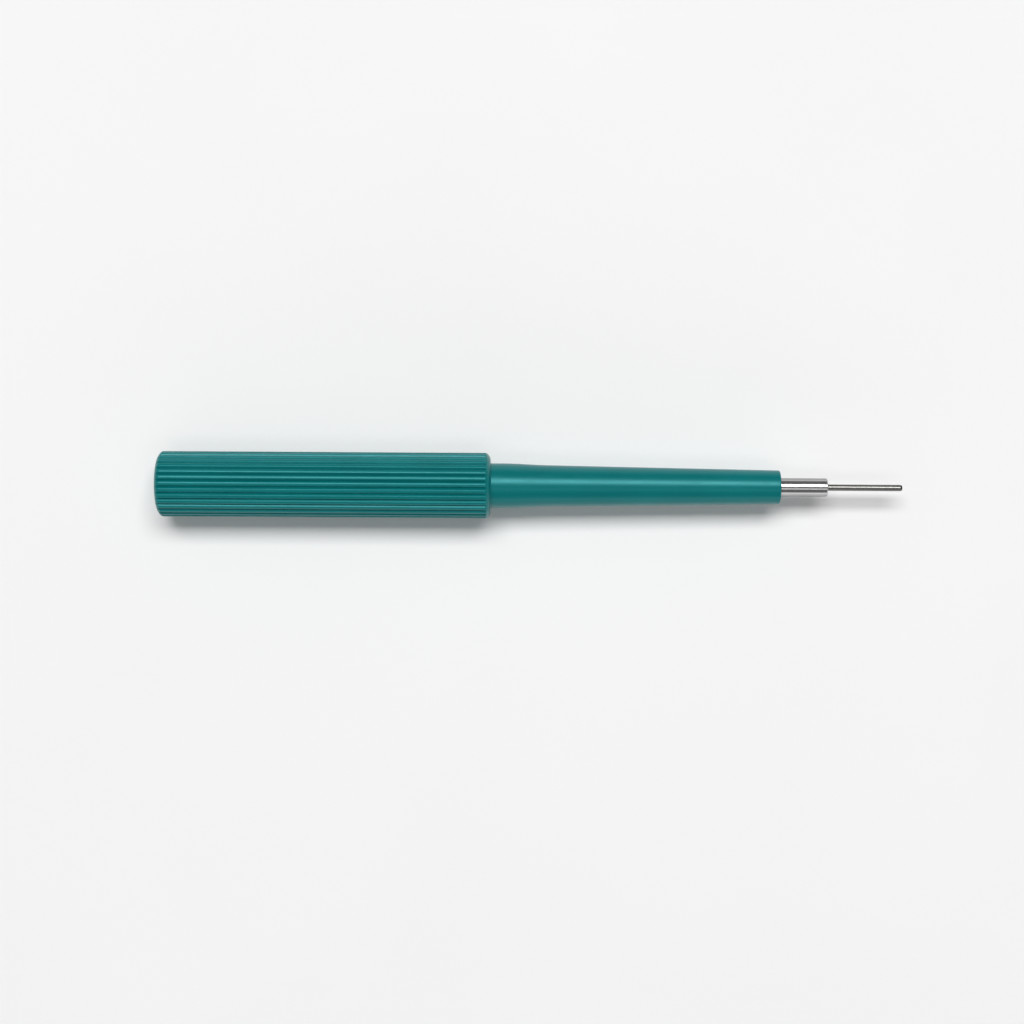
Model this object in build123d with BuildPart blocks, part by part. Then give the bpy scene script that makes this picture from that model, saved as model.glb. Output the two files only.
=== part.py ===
"""Disposable biopsy punch of the finest size, lying on its side.

Three pieces share one axis, which runs along +X towards the cutting edge: a
moulded handle with a ribbed grip and a tapering nose, a thick steel shank seated
in the nose, and a thin steel cannula that runs through the shank.

The origin is under the middle of the length, on the surface that the punch lies
on. The grip carries it, on the two ribs either side of the lowest valley.
"""
import os
from math import acos, atan2, cos, degrees, hypot, radians, sin, tan

from build123d import *

# Grip: a round bar with ribs along it, measured over the crests of the ribs
grip_length = 53.1
grip_radius = 5.25
rib_count = 31
rib_depth = 0.38
crest_radius = 0.22
rim_round = 1.4
rim_overhang = 0.15
runout_start = 0.90
runout_angle = 45.0
runout_dip = 0.05

# Nose: a short neck, a flare down to the waist and a long slow taper
nose_length = 46.2
neck_length = 2.8
neck_radius = 3.57
flare_length = 5.1
waist_radius = 3.335
nose_front_radius = 2.70
nose_edge_break = 0.20

# Shank: the thick sleeve
shank_diameter = 2.9
shank_exposed = 7.6
shank_seat = 12.0
shank_edge_break = 0.15
shank_lead_in = 0.25

# Cannula: the cutting tube
cannula_diameter = 1.0
cannula_wall = 0.10
cannula_exposed = 12.0
bevel_angle = 15.0
edge_land = 0.02

# Fits, as clearance on the radius
shank_fit = 0.02
cannula_fit = 0.01

# Section of the ribs: rounded crests with flat flanks that meet in sharp valleys
half_pitch = 180.0 / rib_count
valley_floor = grip_radius - rib_depth
crest_circle = grip_radius - crest_radius
pitch_cosine = cos(radians(half_pitch))
valley_fall = valley_floor * pitch_cosine - crest_circle
valley_reach = valley_floor * sin(radians(half_pitch))
crest_sweep = degrees(atan2(valley_reach, valley_fall) - acos(crest_radius / hypot(valley_fall, valley_reach)))

# Places along the axis, from the rear face at the left
handle_length = grip_length + nose_length
total_length = handle_length + shank_exposed + cannula_exposed
rear_x = -total_length / 2
shoulder_x = rear_x + grip_length
nose_face_x = rear_x + handle_length
socket_floor_x = nose_face_x - shank_seat
axis_height = crest_circle * pitch_cosine + crest_radius
punch_axis = Axis((0, 0, axis_height), (1, 0, 0))


def across(x):
    """The plane square to the axis at x, facing the cutting edge."""
    return Plane(origin=(x, 0, axis_height), x_dir=(0, 1, 0), z_dir=(1, 0, 0))


def beside(x):
    """The plane through the axis, with its origin on the axis at x and +X along it."""
    return Plane(origin=(x, 0, axis_height), x_dir=(1, 0, 0), z_dir=(0, -1, 0))


def on_circle(radius, angle):
    """The point at that radius and angle in degrees about the axis."""
    return (radius * cos(radians(angle)), radius * sin(radians(angle)))


# Handle
with BuildPart() as handle:
    # the ribbed bar, with a valley at the bottom
    with BuildSketch(across(rear_x)):
        with BuildLine():
            for rib in range(rib_count):
                crest_angle = -90 + half_pitch * (2 * rib + 1)
                crest = CenterArc(
                    on_circle(crest_circle, crest_angle),
                    crest_radius,
                    crest_angle - crest_sweep,
                    2 * crest_sweep,
                )
                Line(on_circle(valley_floor, crest_angle - half_pitch), crest @ 0)
                Line(crest @ 1, on_circle(valley_floor, crest_angle + half_pitch))
        make_face()
    extrude(amount=grip_length - rim_round / 4)

    # the collar that closes the flutes, with a cone where they run out
    rim_radius = grip_radius + rim_overhang
    cone_foot = valley_floor - runout_dip
    cone_slope = tan(radians(runout_angle))
    with BuildSketch(beside(shoulder_x - runout_start)):
        with BuildLine():
            Polyline(
                (-runout_dip / cone_slope, 0),
                (-runout_dip / cone_slope, cone_foot),
                ((rim_radius - valley_floor) / cone_slope, rim_radius),
                (runout_start, rim_radius),
                (runout_start, 0),
                close=True,
            )
        make_face()
    revolve(axis=punch_axis)

    # the rounded rim at the rear and at the shoulder
    with BuildSketch(beside(rear_x)):
        with Locations((grip_length / 2, 0)):
            Rectangle(grip_length, 2 * rim_radius)
        fillet(vertices(), rim_round)
        with Locations((grip_length / 2, 0)):
            Rectangle(grip_length, rim_radius, align=(Align.CENTER, Align.MAX), mode=Mode.SUBTRACT)
    revolve(axis=punch_axis, mode=Mode.INTERSECT)

    # the nose, from its neck at the shoulder to its front face
    shoulder_flat = rim_radius - rim_round
    nose_edge = (nose_length, nose_front_radius)
    with BuildSketch(beside(shoulder_x)):
        with BuildLine():
            Polyline(
                (-rim_round, 0),
                (-rim_round, shoulder_flat),
                (0, shoulder_flat),
                (0, neck_radius),
                (neck_length, neck_radius),
                (neck_length + flare_length, waist_radius),
                nose_edge,
                (nose_length, 0),
                close=True,
            )
        make_face()
        chamfer(vertices().sort_by_distance(nose_edge)[0], nose_edge_break)
    revolve(axis=punch_axis)

    # the socket for the shank
    with BuildSketch(across(nose_face_x)):
        Circle(shank_diameter / 2 + shank_fit)
    extrude(amount=-shank_seat, mode=Mode.SUBTRACT)
handle.part.label = "handle"

# Shank
shank_length = shank_seat + shank_exposed
with BuildPart() as shank:
    with BuildSketch(across(socket_floor_x)):
        Circle(shank_diameter / 2)
        Circle(cannula_diameter / 2 + cannula_fit, mode=Mode.SUBTRACT)
    extrude(amount=shank_length)
    rings = shank.edges().filter_by(GeomType.CIRCLE)
    chamfer(rings.group_by(Axis.X)[-1].sort_by(SortBy.RADIUS)[-1], shank_edge_break)
    chamfer(rings.group_by(Axis.X)[0].sort_by(SortBy.RADIUS)[-1], shank_lead_in)
shank.part.label = "shank"

# Cannula
cannula_length = shank_length + cannula_exposed
cannula_radius = cannula_diameter / 2
bore_radius = cannula_radius - cannula_wall
bevel_length = (cannula_wall - edge_land) / tan(radians(bevel_angle))
with BuildPart() as cannula:
    with BuildSketch(beside(socket_floor_x)):
        with BuildLine():
            Polyline(
                (0, bore_radius),
                (0, cannula_radius),
                (cannula_length - bevel_length, cannula_radius),
                (cannula_length, bore_radius + edge_land),
                (cannula_length, bore_radius),
                close=True,
            )
        make_face()
    revolve(axis=punch_axis)
cannula.part.label = "cannula"

os.makedirs("parts", exist_ok=True)
export_step(handle.part, "parts/handle.step")
export_step(shank.part, "parts/shank.step")
export_step(cannula.part, "parts/cannula.step")
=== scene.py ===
"""Looks of the disposable biopsy punch: its three pieces, their materials, the floor, light and camera.

Every length is written in millimetres and becomes metres where a mesh, a lamp or the camera is made.
The pieces share one axis, which runs along +X through the middle of the thin tube.
"""
from math import acos, atan2, cos, hypot, pi, radians, sin, tan

import bpy
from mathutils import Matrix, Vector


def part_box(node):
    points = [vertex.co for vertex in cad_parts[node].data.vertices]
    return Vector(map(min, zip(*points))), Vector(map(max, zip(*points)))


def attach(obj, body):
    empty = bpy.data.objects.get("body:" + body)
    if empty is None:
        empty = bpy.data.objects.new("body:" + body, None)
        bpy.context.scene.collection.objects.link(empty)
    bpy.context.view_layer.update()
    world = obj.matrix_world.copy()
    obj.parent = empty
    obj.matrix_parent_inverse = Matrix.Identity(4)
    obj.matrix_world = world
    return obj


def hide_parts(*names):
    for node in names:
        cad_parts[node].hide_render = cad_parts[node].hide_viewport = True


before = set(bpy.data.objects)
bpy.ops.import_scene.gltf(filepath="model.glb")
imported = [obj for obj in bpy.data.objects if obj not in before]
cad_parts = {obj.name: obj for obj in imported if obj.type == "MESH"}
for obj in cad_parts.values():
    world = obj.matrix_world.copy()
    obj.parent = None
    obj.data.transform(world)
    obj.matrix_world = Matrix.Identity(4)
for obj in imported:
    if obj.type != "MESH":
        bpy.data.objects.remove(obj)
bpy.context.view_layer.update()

MM = 0.001

# Places along the axis and its height, from the solids themselves
rear_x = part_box("handle")[0].x / MM
nose_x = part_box("handle")[1].x / MM
socket_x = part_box("cannula")[0].x / MM
shank_front_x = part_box("shank")[1].x / MM
tip_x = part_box("cannula")[1].x / MM
axis_z = (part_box("cannula")[0].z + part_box("cannula")[1].z) / 2 / MM

# Grip; the relief sinks the broad crests a little, so that they don't dip into the floor
grip_length = 53.1
shoulder_x = rear_x + grip_length
grip_radius = 5.25
rib_count = 31
rib_depth = 0.38
crest_radius = 0.80
crest_relief = 0.004
crest_turn = radians(14.0)
crest_shoulder = 0.18
rim_round = 1.4
rim_overhang = 0.15
runout_start = 0.95
rib_blend = 0.05
gate_radius = 0.9
gate_depth = 0.12
gate_wall = 0.15
gate_edge_round = 0.05

# Nose
neck_length = 2.8
neck_radius = 3.57
flare_length = 5.1
waist_radius = 3.335
front_radius = 2.70
neck_blend = 0.9
waist_blend = 1.5
root_round = 0.14
nose_edge_round = 0.20
mouth_round = 0.08

# Sleeve and cutting tube
shank_radius = 1.45
shank_fit = 0.02
shank_edge_break = 0.15
shank_edge_round = 0.03
shank_lead_in = 0.25
shank_bore = 0.51
cannula_radius = 0.50
bore_radius = 0.40
bevel_angle = 15.0
bevel_round = 0.03
edge_land = 0.02
land_round = 0.006

# Fineness of the meshes, and how far the guard rings beside a rounded corner or rim stand from it
guard_share = 1.5
rim_guard = 0.05
rim_steps = 22
shoulder_steps = 44
flare_steps = 10
shank_sides = 160
cannula_sides = 128
sharp_angle = radians(32.0)


def soft_min(a, b, width):
    """The smaller of a and b, rounded over where they cross."""
    overlap = max(width - abs(a - b), 0.0) / width
    return min(a, b) - overlap * overlap * width / 4


def soft_max(a, b, width):
    """The larger of a and b, rounded over where they cross."""
    return -soft_min(-a, -b, width)


def toward(start, end, distance):
    """The point at a distance from start, on the straight line to end."""
    part = distance / hypot(end[0] - start[0], end[1] - start[1])
    return (start[0] + (end[0] - start[0]) * part, start[1] + (end[1] - start[1]) * part)


def softened(corners, steps=5):
    """Points (x, r) through corners (x, r, size), each corner rounded over its size."""
    points = []
    for i, (x, r, size) in enumerate(corners):
        if size == 0:
            points.append((x, r))
            continue
        before = corners[i - 1]
        after = corners[(i + 1) % len(corners)]
        start = toward((x, r), before, size)
        end = toward((x, r), after, size)
        # a guard ring on both sides keeps the shading of the flats even
        points.append(toward((x, r), before, size * guard_share))
        for step in range(steps + 1):
            t = step / steps
            a, b, c = (1 - t) ** 2, 2 * t * (1 - t), t ** 2
            points.append((a * start[0] + b * x + c * end[0], a * start[1] + b * r + c * end[1]))
        points.append(toward((x, r), after, size * guard_share))
    return points


def eased(start, end, end_slope, steps):
    """Points (x, r) after start that leave it level and reach end at its slope."""
    length = end[0] - start[0]
    points = []
    for step in range(1, steps + 1):
        t = step / steps
        fall = 3 * t ** 2 - 2 * t ** 3
        lean = t ** 3 - t ** 2
        r = start[1] + fall * (end[1] - start[1]) + lean * end_slope * length
        points.append((start[0] + t * length, r))
    return points


def ring(x, r, angles):
    """A circle of points about the axis, or one point where its radius is nothing."""
    if r == 0:
        return [(x, 0.0, 0.0)]
    return [(x, r * cos(angle), r * sin(angle)) for angle in angles]


def loft(name, rings, closed=False):
    """A piece whose skin runs through rings of points, given in millimetres from the axis."""
    vertices = []
    starts = []
    for points in rings:
        starts.append(len(vertices))
        vertices += [(x * MM, y * MM, (z + axis_z) * MM) for x, y, z in points]
    pairs = [(i, i + 1) for i in range(len(rings) - 1)]
    if closed:
        pairs.append((len(rings) - 1, 0))
    faces = []
    for i, j in pairs:
        a, b = starts[i], starts[j]
        count = max(len(rings[i]), len(rings[j]))
        for k in range(count):
            n = (k + 1) % count
            if len(rings[i]) == 1:
                faces.append((a, b + n, b + k))
            elif len(rings[j]) == 1:
                faces.append((a + k, a + n, b))
            else:
                faces.append((a + k, a + n, b + n, b + k))
    mesh = bpy.data.meshes.new(name)
    mesh.from_pydata(vertices, [], faces)
    mesh.update()
    mesh.shade_smooth()
    mesh.set_sharp_from_angle(angle=sharp_angle)
    piece = bpy.data.objects.new(name, mesh)
    bpy.context.scene.collection.objects.link(piece)
    return piece


# Section of the ribs, seen from the axis: crest, shoulder, and a straight flank down to a sharp valley
half_pitch = pi / rib_count
valley_floor = grip_radius - rib_depth
valley = (valley_floor * cos(half_pitch), valley_floor * sin(half_pitch))
crest_top = grip_radius - crest_relief
crest_centre = crest_top - crest_radius
shoulder_centre = (
    crest_centre + (crest_radius - crest_shoulder) * cos(crest_turn),
    (crest_radius - crest_shoulder) * sin(crest_turn),
)
valley_fall = valley[0] - shoulder_centre[0]
valley_reach = valley[1] - shoulder_centre[1]
flank_turn = atan2(valley_reach, valley_fall) - acos(crest_shoulder / hypot(valley_fall, valley_reach))


def rib_section(crest_steps=3, turn_steps=5, flank_steps=3):
    """The angle and radius of each point round the ribs, with a valley at the bottom."""
    half = []
    for step in range(1, crest_steps + 1):
        turn = crest_turn * step / crest_steps
        half.append((crest_centre + crest_radius * cos(turn), crest_radius * sin(turn)))
    for step in range(1, turn_steps + 1):
        turn = crest_turn + (flank_turn - crest_turn) * step / turn_steps
        out = shoulder_centre[0] + crest_shoulder * cos(turn)
        half.append((out, shoulder_centre[1] + crest_shoulder * sin(turn)))
    foot = half[-1]
    for step in range(1, flank_steps):
        part = step / flank_steps
        half.append((foot[0] + (valley[0] - foot[0]) * part, foot[1] + (valley[1] - foot[1]) * part))
    rib = [(out, -across) for out, across in reversed(half)] + [(crest_top, 0.0)] + half
    points = []
    for number in range(rib_count):
        middle = -pi / 2 + half_pitch * (2 * number + 1)
        points += [(middle + atan2(across, out), hypot(out, across)) for out, across in rib]
        points.append((middle + half_pitch, valley_floor))
    return points


section = rib_section()
angles = [angle for angle, _ in section]
rim_radius = grip_radius + rim_overhang
rim_flat = rim_radius - rim_round


def grip_ring(x, limit):
    """The ribs at x, cut off at the limit of the rim and closed by the slope of their run-out."""
    runout = valley_floor + x - (shoulder_x - runout_start)
    points = []
    for angle, radius in section:
        r = soft_min(soft_max(radius, runout, rib_blend), limit, rib_blend)
        points.append((x, r * cos(angle), r * sin(angle)))
    return points


# Handle: the rear face, with the shallow mark of the moulding gate in its middle
rear_face = softened([
    (rear_x + gate_depth, 0.0, 0),
    (rear_x + gate_depth, gate_radius - gate_wall, gate_edge_round),
    (rear_x, gate_radius, gate_edge_round),
    (rear_x, rim_flat - rim_guard, 0),
])
rings = [ring(x, r, angles) for x, r in rear_face]

# Handle: the rear rim, the straight ribs, their run-out and the rim of the shoulder
for step in range(rim_steps + 1):
    turn = radians(90.0 * step / rim_steps)
    rings.append(grip_ring(rear_x + rim_round * (1 - cos(turn)), rim_flat + rim_round * sin(turn)))
for step in range(shoulder_steps + 1):
    turn = radians(90.0 * (1 - step / shoulder_steps))
    rings.append(grip_ring(shoulder_x - rim_round * (1 - cos(turn)), rim_flat + rim_round * sin(turn)))

# Handle: the face of the shoulder, the neck with its rounded root, the flare and the long taper
root = softened([
    (shoulder_x, rim_flat - rim_guard, 0),
    (shoulder_x, neck_radius, root_round),
    (shoulder_x + neck_length - neck_blend, neck_radius, 0),
])
waist_x = shoulder_x + neck_length + flare_length
taper_slope = (front_radius - waist_radius) / (nose_x - waist_x)
taper_start = (waist_x + waist_blend, waist_radius + waist_blend * taper_slope)
flare = eased(root[-1], taper_start, taper_slope, flare_steps)

# Handle: the front of the nose and the socket that the sleeve sits in
socket_radius = shank_radius + shank_fit
front = softened([
    (*taper_start, 0),
    (nose_x, front_radius, nose_edge_round),
    (nose_x, socket_radius, mouth_round),
    (socket_x, socket_radius, 0),
    (socket_x, 0.0, 0),
])
rings += [ring(x, r, angles) for x, r in root + flare + front[1:]]
handle = loft("handle_moulding", rings)

# Sleeve: a ground tube with a broken front edge
shank_outline = softened([
    (socket_x, shank_bore, 0),
    (socket_x, shank_radius - shank_lead_in, 0),
    (socket_x + shank_lead_in, shank_radius, 0),
    (shank_front_x - shank_edge_break, shank_radius, shank_edge_round),
    (shank_front_x, shank_radius - shank_edge_break, shank_edge_round),
    (shank_front_x, shank_bore, shank_edge_round),
])
shank_angles = [2 * pi * i / shank_sides for i in range(shank_sides)]
shank = loft("shank_tube", [ring(x, r, shank_angles) for x, r in shank_outline], closed=True)

# Cutting tube: ground to a ring-shaped edge on its outside
bevel_length = (cannula_radius - bore_radius - edge_land) / tan(radians(bevel_angle))
cannula_outline = softened([
    (socket_x, bore_radius, 0),
    (socket_x, cannula_radius, 0),
    (tip_x - bevel_length, cannula_radius, bevel_round),
    (tip_x, bore_radius + edge_land, land_round),
    (tip_x, bore_radius, land_round),
])
cannula_angles = [2 * pi * i / cannula_sides for i in range(cannula_sides)]
cannula = loft("cannula_tube", [ring(x, r, cannula_angles) for x, r in cannula_outline], closed=True)


# Nearly all of a noise lies between these two
noise_low = 0.3
noise_high = 0.7


def new_material(name):
    """A material, its node tree and its shader."""
    material = bpy.data.materials.new(name)
    material.use_nodes = True
    return material, material.node_tree, material.node_tree.nodes["Principled BSDF"]


def add(tree, kind, values):
    """A shader node with these values on its unlinked inputs."""
    node = tree.nodes.new("ShaderNode" + kind)
    for key, value in values.items():
        node.inputs[key].default_value = value
    return node


def noise(tree, scale, detail=3.0, roughness=0.5):
    """Noise in object space whose features are 1 / scale millimetres long on each axis."""
    place = add(tree, "TexCoord", {})
    grow = add(tree, "Mapping", {"Scale": [s / MM for s in scale]})
    texture = add(tree, "TexNoise", {"Scale": 1.0, "Detail": detail, "Roughness": roughness})
    tree.links.new(place.outputs["Object"], grow.inputs["Vector"])
    tree.links.new(grow.outputs["Vector"], texture.inputs["Vector"])
    return texture.outputs["Fac"]


def spread(tree, value, low, high):
    """The middle of a noise, mapped onto low to high."""
    ends = {"From Min": noise_low, "From Max": noise_high, "To Min": low, "To Max": high}
    node = add(tree, "MapRange", ends)
    tree.links.new(value, node.inputs["Value"])
    return node.outputs["Result"]


def tinted(tree, value, colours):
    """A colour ramp over value; colours holds (place, (r, g, b))."""
    ramp = add(tree, "ValToRGB", {})
    stops = ramp.color_ramp.elements
    while len(stops) < len(colours):
        stops.new(0.5)
    for stop, (place, colour) in zip(stops, colours):
        stop.position = place
        stop.color = (*colour, 1.0)
    tree.links.new(value, ramp.inputs["Fac"])
    return ramp.outputs["Color"]


def bumps(tree, layers):
    """The normal after a chain of bumps; layers holds (height, depth in millimetres)."""
    normal = None
    for height, depth in layers:
        bump = add(tree, "Bump", {"Strength": 1.0, "Distance": depth * MM})
        tree.links.new(height, bump.inputs["Height"])
        if normal:
            tree.links.new(normal, bump.inputs["Normal"])
        normal = bump.outputs["Normal"]
    return normal


def teal_plastic():
    """Satin plastic coloured right through, with faint flow marks along the punch."""
    material, tree, shader = new_material("teal_plastic")
    clouds = noise(tree, scale=(0.10, 0.22, 0.22), detail=4.0)
    patches = noise(tree, scale=(0.5, 0.9, 0.9), detail=5.0, roughness=0.6)
    sink = noise(tree, scale=(0.16, 0.3, 0.3), detail=1.0)
    drag = noise(tree, scale=(0.25, 9.0, 9.0))
    grain = noise(tree, scale=(14.0, 14.0, 14.0), detail=2.0)
    deep = (0.0006, 0.135, 0.140)
    light = (0.0012, 0.157, 0.162)
    sink_depth = 0.012
    mark_depth = 0.0007
    colour = tinted(tree, clouds, [(noise_low, deep), (noise_high, light)])
    normal = bumps(tree, [(sink, sink_depth), (drag, mark_depth), (grain, mark_depth)])
    tree.links.new(colour, shader.inputs["Base Color"])
    tree.links.new(spread(tree, patches, low=0.28, high=0.36), shader.inputs["Roughness"])
    tree.links.new(normal, shader.inputs["Normal"])
    shader.inputs["Specular IOR Level"].default_value = 0.58
    shader.inputs["Specular Tint"].default_value = (0.28, 0.95, 1.0, 1.0)
    return material


def steel(name, tint, smooth, rough, line_scale, line_depth):
    """Steel with painted shade at its edges, where its reflection is darkened, with fine lines round
    the tube and drawing marks along it.

    The lines have line_scale of them to a millimetre, and line_depth is in millimetres.
    """
    material, tree, shader = new_material(name)
    shade = noise(tree, scale=(0.3, 0.6, 0.6), detail=4.0)
    ground = noise(tree, scale=(line_scale, 0.4, 0.4), detail=4.0, roughness=0.7)
    drawn = noise(tree, scale=(0.12, 16.0, 16.0), roughness=0.6)
    # painted shade: this edge tint darkens the steel's reflection towards its edges, in place of the
    # dark surroundings that it mirrors
    painted_edge_shade = (0.35, 0.35, 0.355, 1.0)
    dull_share = 0.9
    dull = tuple(dull_share * channel for channel in tint)
    colour = tinted(tree, shade, [(noise_low, dull), (noise_high, tint)])
    normal = bumps(tree, [(drawn, line_depth), (ground, line_depth)])
    tree.links.new(colour, shader.inputs["Base Color"])
    tree.links.new(spread(tree, ground, smooth, rough), shader.inputs["Roughness"])
    tree.links.new(normal, shader.inputs["Normal"])
    shader.inputs["Metallic"].default_value = 1.0
    shader.inputs["Specular Tint"].default_value = painted_edge_shade
    return material


def dress(piece, node, material):
    """Puts a piece in the place of its solid, with its material."""
    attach(piece, "root")
    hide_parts(node)
    piece.data.materials.append(material)


sleeve_steel = steel(
    "sleeve_steel",
    tint=(0.51, 0.51, 0.516),
    smooth=0.15,
    rough=0.24,
    line_scale=9.0,
    line_depth=0.0005,
)
# The tube's tint is steel's grey darkened by painted shade, which stands in for the dark surroundings
# that the thin tube mirrors.
tube_steel = steel(
    "tube_steel",
    tint=(0.21, 0.209, 0.198),
    smooth=0.17,
    rough=0.27,
    line_scale=14.0,
    line_depth=0.0006,
)
dress(handle, "handle", teal_plastic())
dress(shank, "shank", sleeve_steel)
dress(cannula, "cannula", tube_steel)

# Floor: plain and pale, faded out towards its border so that no edge of it shows
floor_half = 1200.0 * MM
fade_start = 300.0 * MM
floor_mesh = bpy.data.meshes.new("floor")
corners = [(-1, -1), (1, -1), (1, 1), (-1, 1)]
floor_mesh.from_pydata([(x * floor_half, y * floor_half, 0.0) for x, y in corners], [], [(0, 1, 2, 3)])
floor = bpy.data.objects.new("floor", floor_mesh)
bpy.context.scene.collection.objects.link(floor)
floor_material, tree, shader = new_material("pale_floor")
mottle = noise(tree, scale=(0.02, 0.02, 0.02))
floor_dark = (0.94, 0.94, 0.94)
floor_light = (0.955, 0.955, 0.955)
floor_colour = tinted(tree, mottle, [(noise_low, floor_dark), (noise_high, floor_light)])
tree.links.new(floor_colour, shader.inputs["Base Color"])
shader.inputs["Roughness"].default_value = 0.8
place = add(tree, "TexCoord", {})
reach = add(tree, "VectorMath", {})
reach.operation = "LENGTH"
fade = add(tree, "MapRange", {"From Min": fade_start, "From Max": floor_half})
fade.interpolation_type = "SMOOTHSTEP"
clear = add(tree, "BsdfTransparent", {})
blend = add(tree, "MixShader", {})
tree.links.new(place.outputs["Object"], reach.inputs[0])
tree.links.new(reach.outputs["Value"], fade.inputs["Value"])
tree.links.new(fade.outputs["Result"], blend.inputs["Fac"])
tree.links.new(shader.outputs["BSDF"], blend.inputs[1])
tree.links.new(clear.outputs["BSDF"], blend.inputs[2])
tree.links.new(blend.outputs["Shader"], tree.nodes["Material Output"].inputs["Surface"])
floor_mesh.materials.append(floor_material)


# Light: a long soft key lamp behind the punch and a weak panel in front of it
lamp_distance = 3000.0


def soft_lamp(name, tilt, width, length, power):
    """An area lamp at the lamps' distance, tilted from straight up towards +Y by degrees."""
    data = bpy.data.lights.new(name, "AREA")
    data.shape = "RECTANGLE"
    data.size = length * MM
    data.size_y = width * MM
    data.energy = power
    lamp = bpy.data.objects.new(name, data)
    angle = radians(tilt)
    lamp.location = (0.0, lamp_distance * sin(angle) * MM, (lamp_distance * cos(angle) + axis_z) * MM)
    lamp.rotation_euler = (-angle, 0.0, 0.0)
    bpy.context.scene.collection.objects.link(lamp)


soft_lamp("key", tilt=24.0, width=1080.0, length=2550.0, power=76.0)
soft_lamp("panel", tilt=-20.0, width=720.0, length=2700.0, power=7.2)

# Room: dim overhead and behind, lighter low down in front, and as pale as the floor below the horizon
room_lean = radians(15.0)
room_foot = (1.40, 1.40, 1.40)
room_wall = (0.20, 0.20, 0.202)
room_top = (0.16, 0.16, 0.162)
wall_start = 0.14
ground_colour = (0.90, 0.90, 0.90, 1.0)
horizon_low = 0.02
horizon_high = 0.06
world = bpy.data.worlds.new("studio")
world.use_nodes = True
bpy.context.scene.world = world
tree = world.node_tree
place = add(tree, "TexCoord", {})
lean = add(tree, "Mapping", {"Rotation": (room_lean, 0.0, 0.0)})
height = add(tree, "SeparateXYZ", {})
leaning = add(tree, "SeparateXYZ", {})
tree.links.new(place.outputs["Generated"], height.inputs["Vector"])
tree.links.new(place.outputs["Generated"], lean.inputs["Vector"])
tree.links.new(lean.outputs["Vector"], leaning.inputs["Vector"])
ends = {"From Min": horizon_low, "From Max": horizon_high, "To Min": 1.0, "To Max": 0.0}
below = add(tree, "MapRange", ends)
tree.links.new(height.outputs["Z"], below.inputs["Value"])
room = tinted(tree, leaning.outputs["Z"], [(0.0, room_foot), (wall_start, room_wall), (1.0, room_top)])
ground = add(tree, "MixRGB", {"Color2": ground_colour})
tree.links.new(below.outputs["Result"], ground.inputs["Fac"])
tree.links.new(room, ground.inputs["Color1"])
tree.links.new(ground.outputs["Color"], tree.nodes["Background"].inputs["Color"])
tree.nodes["Background"].inputs["Strength"].default_value = 1.0

# Camera: looks straight down on the punch, whose middle is right of and above that of the picture
camera_height = 300.0
frame_width = 163.84
punch_right = 2.92
punch_up = 4.18
roll = radians(0.335)
camera_data = bpy.data.cameras.new("camera")
camera_data.sensor_width = 36.0
camera_data.lens = camera_data.sensor_width * camera_height / frame_width
camera_data.clip_start = 0.01
camera_data.clip_end = 20.0
camera = bpy.data.objects.new("camera", camera_data)
camera.location = (
    (punch_up * sin(roll) - punch_right * cos(roll)) * MM,
    (-punch_right * sin(roll) - punch_up * cos(roll)) * MM,
    (axis_z + camera_height) * MM,
)
camera.rotation_euler = (0.0, 0.0, roll)
bpy.context.scene.collection.objects.link(camera)
bpy.context.scene.camera = camera
bpy.context.scene.view_settings.view_transform = "Standard"

bpy.context.view_layer.update()
